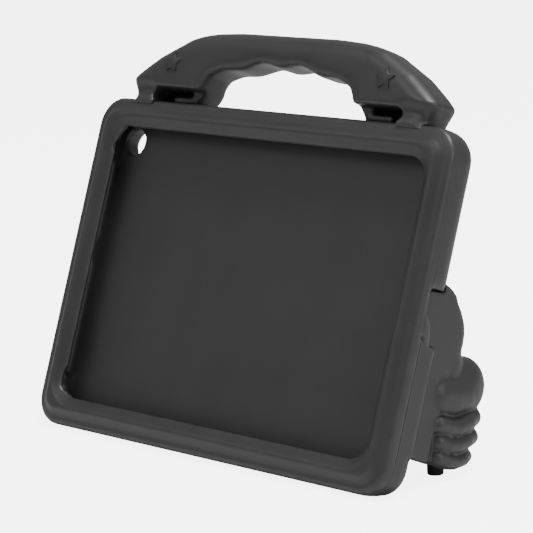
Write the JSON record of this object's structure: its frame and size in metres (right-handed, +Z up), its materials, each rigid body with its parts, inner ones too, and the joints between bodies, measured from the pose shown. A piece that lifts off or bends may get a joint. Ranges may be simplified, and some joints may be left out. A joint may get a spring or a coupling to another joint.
{
  "type": "tablet case",
  "caption": "Foam tablet case with a receiver-shaped carry handle and two hinged thumbs-up hands at the back that fold out to prop it up.",
  "frame": {"origin": "on the table, at the middle of the standing case's outer box", "axes": "+X to the right as the user sees the screen, +Y away from the user, +Z up; the screen leans back 20 degrees from +Z"},
  "size_m": [0.213, 0.078, 0.1744],
  "materials": {
    "foam": "satin",
    "black_rubber": "matte",
    "steel": "satin",
    "nylon": "matte"
  },
  "bodies": {
    "case": {"front_frame": "foam", "back_shell": "foam", "carry_handle": "foam", "right_hinge_pin": "steel", "left_hinge_pin": "steel", "right_upper_pin_sleeve": "nylon", "right_lower_pin_sleeve": "nylon", "left_upper_pin_sleeve": "nylon", "left_lower_pin_sleeve": "nylon"},
    "right_hand": {"right_hand": "foam", "right_knuckle_sleeve": "nylon", "right_foot": "black_rubber"},
    "left_hand": {"left_hand": "foam", "left_knuckle_sleeve": "nylon", "left_foot": "black_rubber"}
  },
  "joints": [
    {"name": "right_hand_fold", "type": "hinge", "parent": "case", "child": "right_hand", "pos_m": [0.086, 0.00029, 0.06799], "axis": [0, 0.342, 0.9397], "range_deg": [0, 90]},
    {"name": "left_hand_fold", "type": "hinge", "parent": "case", "child": "left_hand", "pos_m": [-0.086, 0.00029, 0.06799], "axis": [0, -0.342, -0.9397], "range_deg": [0, 90]}
  ]
}
